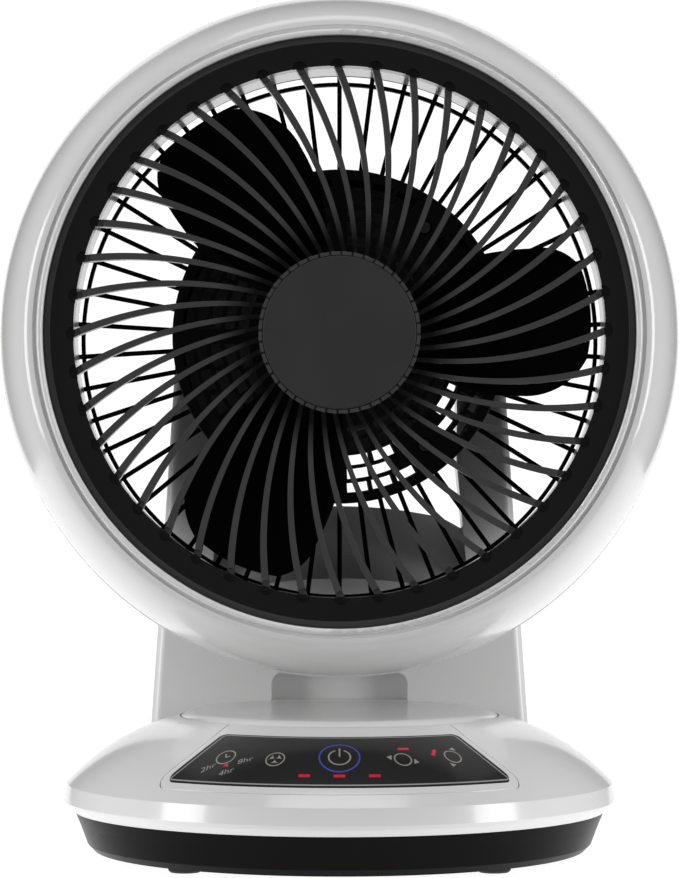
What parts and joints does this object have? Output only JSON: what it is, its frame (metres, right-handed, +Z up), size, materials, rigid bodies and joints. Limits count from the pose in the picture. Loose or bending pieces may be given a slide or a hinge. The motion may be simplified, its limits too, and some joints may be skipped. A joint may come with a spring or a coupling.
{
  "type": "air circulator fan",
  "caption": "Table-top air circulator fan: round head with swirling grille on a tilting, swinging yoke and a domed base with a touch panel.",
  "frame": {"origin": "middle of the base on the surface that the fan stands on", "axes": "+Z up, the air blows out of the front towards -Y, +X to the right seen from the front"},
  "size_m": [0.277, 0.2212, 0.3465],
  "materials": {
    "white_plastic": "semi-gloss moulded white",
    "black_plastic": "satin moulded black",
    "panel_black": "high gloss black",
    "red_light": "clear red window",
    "rubber": "matt",
    "steel": "plain",
    "zinc_screw": "blackened zinc",
    "bell_metal": "die cast",
    "copper_wire": "enamelled copper",
    "laminations": "stacked steel",
    "nylon": "natural acetal",
    "circuit_board": "solder mask",
    "part_grey": "component cases",
    "bush_bronze": "sintered bronze"
  },
  "bodies": {
    "base": {"lower_shell": "black_plastic", "upper_shell": "white_plastic", "rubber_feet": "rubber", "base_screws": "zinc_screw", "control_panel": "panel_black", "panel_frame": "white_plastic", "control_board": "circuit_board", "indicator_lights": "red_light", "touch_springs": "steel", "power_board": "circuit_board", "board_components": "part_grey", "pan_motor": "bell_metal", "pan_motor_screws": "zinc_screw", "pan_bush": "nylon", "thrust_washer": "nylon", "cord_gland": "black_plastic"},
    "pan_pinion": {"pan_pinion": "nylon"},
    "yoke": {"turntable": "white_plastic", "turntable_screws": "zinc_screw", "pan_spindle": "nylon", "pan_gear": "nylon", "spindle_clip": "steel", "yoke_front_shell": "white_plastic", "yoke_rear_shell": "white_plastic", "yoke_screws": "zinc_screw", "tilt_motor": "bell_metal", "tilt_bush_left": "nylon", "tilt_bush_right": "nylon"},
    "tilt_pinion": {"tilt_pinion": "nylon"},
    "head": {"front_shell": "white_plastic", "rear_shell": "white_plastic", "shell_screws": "zinc_screw", "front_grille": "black_plastic", "grille_cap": "black_plastic", "rear_grille": "black_plastic", "motor_front_cover": "black_plastic", "cover_screws": "zinc_screw", "pivot_housing": "black_plastic", "housing_screws": "zinc_screw", "run_capacitor": "part_grey", "trunnion_left": "steel", "trunnion_right": "steel", "tilt_gear": "nylon", "motor_stator": "laminations", "motor_windings": "copper_wire", "motor_bell_front": "bell_metal", "motor_bell_rear": "bell_metal", "motor_bearings": "bush_bronze"},
    "impeller": {"fan_blade": "black_plastic", "blade_nut": "black_plastic", "motor_shaft": "steel", "rotor_core": "laminations"}
  },
  "joints": [
    {"name": "pan_swing", "type": "hinge", "parent": "base", "child": "yoke", "pos_m": [0, 0, 0.052], "axis": [0, 0, 1], "range_deg": [-40, 40]},
    {"name": "pan_pinion_spin", "type": "hinge", "parent": "base", "child": "pan_pinion", "pos_m": [0, 0.03, 0.04], "axis": [0, 0, 1], "range_deg": [-165, 165]},
    {"name": "head_tilt", "type": "hinge", "parent": "yoke", "child": "head", "pos_m": [0, 0.056, 0.208], "axis": [-1, 0, 0], "range_deg": [-5, 35]},
    {"name": "tilt_pinion_spin", "type": "hinge", "parent": "yoke", "child": "tilt_pinion", "pos_m": [0.0626, 0.056, 0.193], "axis": [-1, 0, 0], "range_deg": [-75, 15]},
    {"name": "fan_spin", "type": "hinge", "parent": "head", "child": "impeller", "pos_m": [0, 0, 0.208], "axis": [0, 1, 0], "continuous": true}
  ],
  "couplings": [
    {"joint": "pan_pinion_spin", "follows": "pan_swing", "ratio": -4},
    {"joint": "tilt_pinion_spin", "follows": "head_tilt", "ratio": -2}
  ]
}
